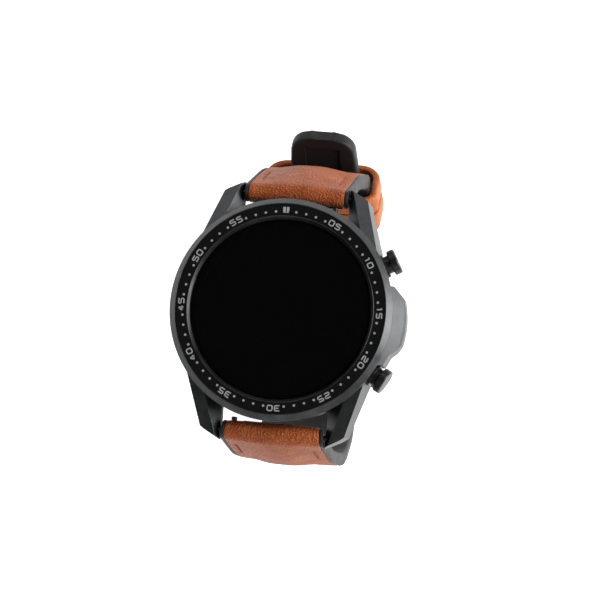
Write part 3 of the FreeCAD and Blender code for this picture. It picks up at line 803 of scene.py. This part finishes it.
# ------------------------------------------------------------------ bezel print
print_turn = 2.2  # degrees anticlockwise, as the insert sits in its ring
print_r, dot_r, dot_ring_r = 20.62, 0.25, 20.3
digit_w, digit_h, digit_gap, stroke_w = 1.26, 1.32, 0.27, 0.25
insert_top = 11.1
print_low, print_high = insert_top - 0.02, insert_top + 0.02

# Strokes of each digit on a unit square, drawn through rounded corners.
digit_strokes = {
    "0": [[(0.5, 0), (1, 0), (1, 1), (0, 1), (0, 0), (0.5, 0)]],
    "1": [[(0.25, 0.78), (0.62, 1), (0.62, 0)]],
    "2": [[(0.02, 1), (1, 1), (1, 0.52), (0, 0.48), (0, 0), (1, 0)]],
    "3": [[(0.02, 1), (1, 1), (1, 0), (0.02, 0)], [(0.2, 0.5), (0.97, 0.5)]],
    "4": [[(0.7, 0), (0.7, 1), (0, 0.28), (1, 0.28)]],
    "5": [[(1, 1), (0, 1), (0, 0.55), (1, 0.55), (1, 0), (0, 0)]],
}


def rounded_line(points, radius):
    """A polyline with its corners rounded by short curves."""
    line = [points[0]]
    for before, corner, after in zip(points, points[1:], points[2:]):
        into, out = (corner - before), (after - corner)
        reach = min(radius, into.length / 2, out.length / 2)
        a, b = corner - into.normalized() * reach, corner + out.normalized() * reach
        for k in range(5):
            t = k / 4
            line.append(a * (1 - t) ** 2 + corner * 2 * t * (1 - t) + b * t * t)
    return line + [points[-1]]


def stroke_plate(points, faces, line, width, to_dial):
    """A thin closed plate along a line on the insert."""
    base = len(points)
    for i, p in enumerate(line):
        way = (line[min(i + 1, len(line) - 1)] - line[max(i - 1, 0)]).normalized()
        side = Vector((-way.y, way.x)) * width / 2
        for at in (p + side, p - side):
            x, y = to_dial(at)
            points += [(x, y, print_low), (x, y, print_high)]
    for i in range(len(line) - 1):
        a = base + 4 * i
        b = a + 4
        faces += [(a + 1, a + 3, b + 3, b + 1), (a, b, b + 2, a + 2)]
        faces += [(a, a + 1, b + 1, b), (a + 2, b + 2, b + 3, a + 3)]
    end = base + 4 * (len(line) - 1)
    faces += [(base, base + 2, base + 3, base + 1), (end, end + 1, end + 3, end + 2)]


def flat_plate(points, faces, outline):
    """A thin closed plate with a given outline."""
    base, count = len(points), len(outline)
    points += [(x, y, z) for z in (print_low, print_high) for x, y in outline]
    faces.append(tuple(base + k for k in range(count)))
    faces.append(tuple(base + count + k for k in range(count)))
    for k in range(count):
        j = (k + 1) % count
        faces.append((base + k, base + j, base + count + j, base + count + k))


def on_dial(minute):
    """Maps a point drawn round (0, 0), up pointing outward, to its place by the minute."""
    turn = math.radians(90 - 6 * minute + print_turn)
    out = Vector((math.cos(turn), math.sin(turn)))
    right = Vector((out.y, -out.x))

    def place(p):
        # the line of digits bends with the ring
        bent = p.x / print_r
        ahead = out * math.cos(bent) + right * math.sin(bent)
        return ahead * (print_r + p.y)

    return place


def add_number(points, faces, text, minute):
    corner_r = 0.34
    place = on_dial(minute)
    widths = [0.75 * digit_w if c == "1" else digit_w for c in text]
    x = -(sum(widths) + digit_gap * (len(text) - 1)) / 2
    inner_h = digit_h - stroke_w
    for character, width in zip(text, widths):
        inner_w, left = width - stroke_w, x + stroke_w / 2
        for stroke in digit_strokes[character]:
            line = [Vector((left + u * inner_w, (v - 0.5) * inner_h)) for u, v in stroke]
            stroke_plate(points, faces, rounded_line(line, corner_r), stroke_w, place)
        x += width + digit_gap


def bezel_print():
    """Numbers at every five minutes, dots between them and a mark of two bars at twelve."""
    points, faces = [], []
    for minute in range(5, 60, 5):
        add_number(points, faces, f"{minute:02d}", minute)
    turns = [math.radians(18 * k) for k in range(20)]
    rim = [Vector((math.cos(a), math.sin(a))) * dot_r for a in turns]
    for minute in range(60):
        if minute % 5:
            turn = math.radians(90 - 6 * minute + print_turn)
            centre = Vector((math.cos(turn), math.sin(turn))) * dot_ring_r
            flat_plate(points, faces, [tuple(centre + p) for p in rim])
    place = on_dial(0)
    bar = [(0.1, 0.62), (0.62, 0.62), (0.66, 0.3), (0.6, -0.4), (0.5, -0.62), (0.1, -0.62)]
    for side in (-1, 1):
        flat_plate(points, faces, [tuple(place(Vector((side * u, v)))) for u, v in bar])
    marks = mesh_object("bezel_print", points, faces, 30)
    finish_piece(marks, print_grey, "insert_black", "case")


bezel_print()


# ------------------------------------------------------------------ stage, light and camera
def area_light(name, place, size, power):
    """A rectangular lamp that faces the watch."""
    data = bpy.data.lights.new(name, "AREA")
    data.shape = "RECTANGLE"
    data.size, data.size_y = size
    data.energy = power
    light = bpy.data.objects.new(name, data)
    light.location = place
    light.rotation_euler = (-Vector(place)).to_track_quat("-Z", "Y").to_euler()
    bpy.context.scene.collection.objects.link(light)


def stage():
    """A pale floor under the watch, a dim even surround and four soft lights."""
    ground = bpy.data.meshes.new("floor")
    reach, level = 3.0, cad_box[0][2] - 0.0002
    corners = [(-reach, -reach), (reach, -reach), (reach, reach), (-reach, reach)]
    ground.from_pydata([(x, y, level) for x, y in corners], [], [(0, 1, 2, 3)])
    floor = bpy.data.objects.new("floor", ground)
    bpy.context.scene.collection.objects.link(floor)
    g = Graph("pale_floor", Roughness=0.9, Specular_IOR_Level=0.1, Emission_Strength=0.72)
    g.set("Emission Color", (1.0, 1.0, 1.0, 1.0))
    g.set("Base Color", (0.93, 0.93, 0.93, 1.0))
    floor.data.materials.append(g.material)
    world = bpy.data.worlds.new("studio")
    world.use_nodes = True
    surround = world.node_tree.nodes["Background"]
    surround.inputs["Color"].default_value = (1.0, 1.0, 1.0, 1.0)
    surround.inputs["Strength"].default_value = 0.07
    bpy.context.scene.world = world
    area_light("key", (0.98, 0.12, 0.4), (0.7, 1.1), 19)
    area_light("fill", (-0.8, 0.1, 0.6), (0.8, 0.8), 1.7)
    area_light("front", (0.1, -0.9, 0.5), (0.9, 0.5), 2.2)
    area_light("back", (-0.1, 0.9, 0.7), (0.9, 0.5), 2.2)


camera_place = Vector((0.11575, -0.09985, 0.73236))
camera_right, camera_up = Vector((0.9851, 0.1021, -0.1382)), Vector((-0.0808, 0.9851, 0.1518))


def camera():
    """A long lens above the dial, turned a little to the pushers' side."""
    data = bpy.data.cameras.new("camera")
    data.sensor_width = 36.0
    data.lens = 215.4
    data.clip_start, data.clip_end = 0.05, 20
    eye = bpy.data.objects.new("camera", data)
    up = camera_up
    back = camera_right.cross(up).normalized()
    right = up.cross(back).normalized()
    turn = Matrix((right, up, back)).transposed().to_4x4()
    eye.matrix_world = Matrix.Translation(camera_place) @ turn
    bpy.context.scene.collection.objects.link(eye)
    bpy.context.scene.camera = eye


stage()
camera()
bpy.context.scene.view_settings.view_transform = "Standard"
